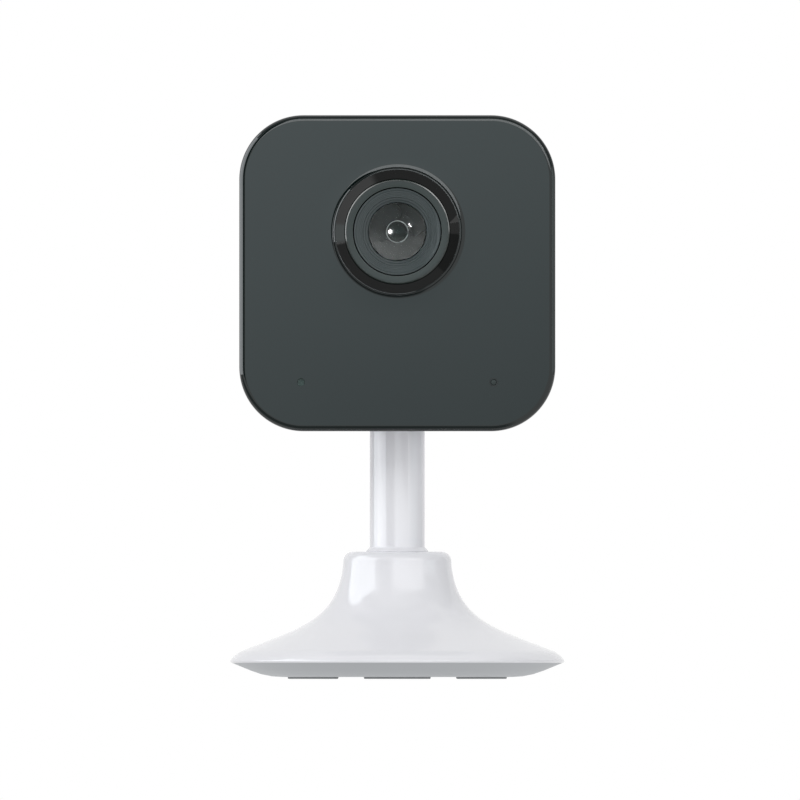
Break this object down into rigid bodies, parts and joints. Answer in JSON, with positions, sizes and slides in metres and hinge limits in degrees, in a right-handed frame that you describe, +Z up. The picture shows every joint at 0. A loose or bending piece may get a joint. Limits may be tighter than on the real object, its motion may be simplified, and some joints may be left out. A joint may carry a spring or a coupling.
{
  "type": "security camera",
  "caption": "Small indoor camera: a square head with rounded corners and a front lens, hinged on a round stem that swivels in a flared magnetic foot.",
  "frame": {"origin": "centre of the foot's underside, on the plane of its rubber pads", "axes": "+Z up along the stem, -Y the way the lens looks, +X to the right when the camera is seen from the front"},
  "size_m": [0.062, 0.062, 0.1045],
  "materials": {
    "shell_white": "glossy white moulded plastic",
    "cover_grey": "fine-textured light grey plastic",
    "pad_rubber": "soft matt rubber",
    "face_dark": "glossy dark green-grey plastic",
    "bezel_black": "glossy black plastic",
    "lens_black": "satin dark anodised look",
    "lens_glass": "coated lens glass",
    "filter_red": "infrared-blocking glass",
    "pipe_clear": "clear acrylic",
    "frame_black": "matt black plastic",
    "board_green": "green solder mask",
    "chip_black": "moulded chip package",
    "lamp_clear": "clear lamp resin",
    "steel_bright": "zinc-plated steel",
    "magnet_grey": "sintered ferrite",
    "coil_copper": "enamelled copper wire",
    "flex_amber": "polyimide film",
    "cone_black": "pressed paper and foam"
  },
  "bodies": {
    "base": {"base_shell": "shell_white", "base_bottom_cover": "cover_grey", "foot_pads": "pad_rubber", "base_screws": "steel_bright", "magnet_cup": "steel_bright", "base_magnet": "magnet_grey", "swivel_spring": "steel_bright"},
    "stem": {"stem": "shell_white", "swivel_washer": "steel_bright", "swivel_screw": "steel_bright"},
    "filter": {"filter_frame": "frame_black", "infrared_filter": "filter_red", "clear_filter": "lens_glass"},
    "button": {"reset_button": "shell_white", "reset_plunger": "frame_black"},
    "head": {"rear_shell": "shell_white", "microphone_boot": "pad_rubber", "front_cover": "face_dark", "lens_bezel": "bezel_black", "lens_barrel": "lens_black", "lens_retainer": "lens_black", "lens_stop": "lens_black", "lens_holder": "lens_black", "front_lens": "lens_glass", "middle_lens": "lens_glass", "rear_lens": "lens_glass", "light_pipe": "pipe_clear", "inner_frame": "frame_black", "filter_cover": "frame_black", "reset_switch": "frame_black", "ribbon_sockets": "frame_black", "sensor_connector": "frame_black", "usb_tongue": "frame_black", "speaker_frame": "frame_black", "main_board": "board_green", "sensor_board": "board_green", "lamp_board": "board_green", "processor": "chip_black", "image_sensor": "chip_black", "microphone": "chip_black", "infrared_lamps": "lamp_clear", "status_lamp": "lamp_clear", "hinge_pin": "steel_bright", "hinge_washers": "steel_bright", "holder_screws": "steel_bright", "lamp_board_screws": "steel_bright", "frame_screws": "steel_bright", "main_board_screws": "steel_bright", "usb_socket": "steel_bright", "card_socket": "steel_bright", "shield_can": "steel_bright", "radio_module": "steel_bright", "speaker_magnet": "magnet_grey", "filter_coil": "coil_copper", "board_ribbon": "flex_amber", "antenna": "flex_amber", "speaker_cone": "cone_black", "speaker_gasket": "cone_black"}
  },
  "joints": [
    {"name": "stem_swivel", "type": "hinge", "parent": "base", "child": "stem", "pos_m": [0, 0, 0.0236], "axis": [0, 0, 1], "continuous": true},
    {"name": "head_tilt", "type": "hinge", "parent": "stem", "child": "head", "pos_m": [0, 0, 0.0549], "axis": [1, 0, 0], "range_deg": [-90, 20]},
    {"name": "filter_shift", "type": "slide", "parent": "head", "child": "filter", "axis": [1, 0, 0], "range_m": [0, 0.0062]},
    {"name": "reset_press", "type": "slide", "parent": "head", "child": "button", "axis": [0, -1, 0], "range_m": [0, 0.0004], "stiffness_N_per_m": 600, "springref_m": -0.001}
  ]
}
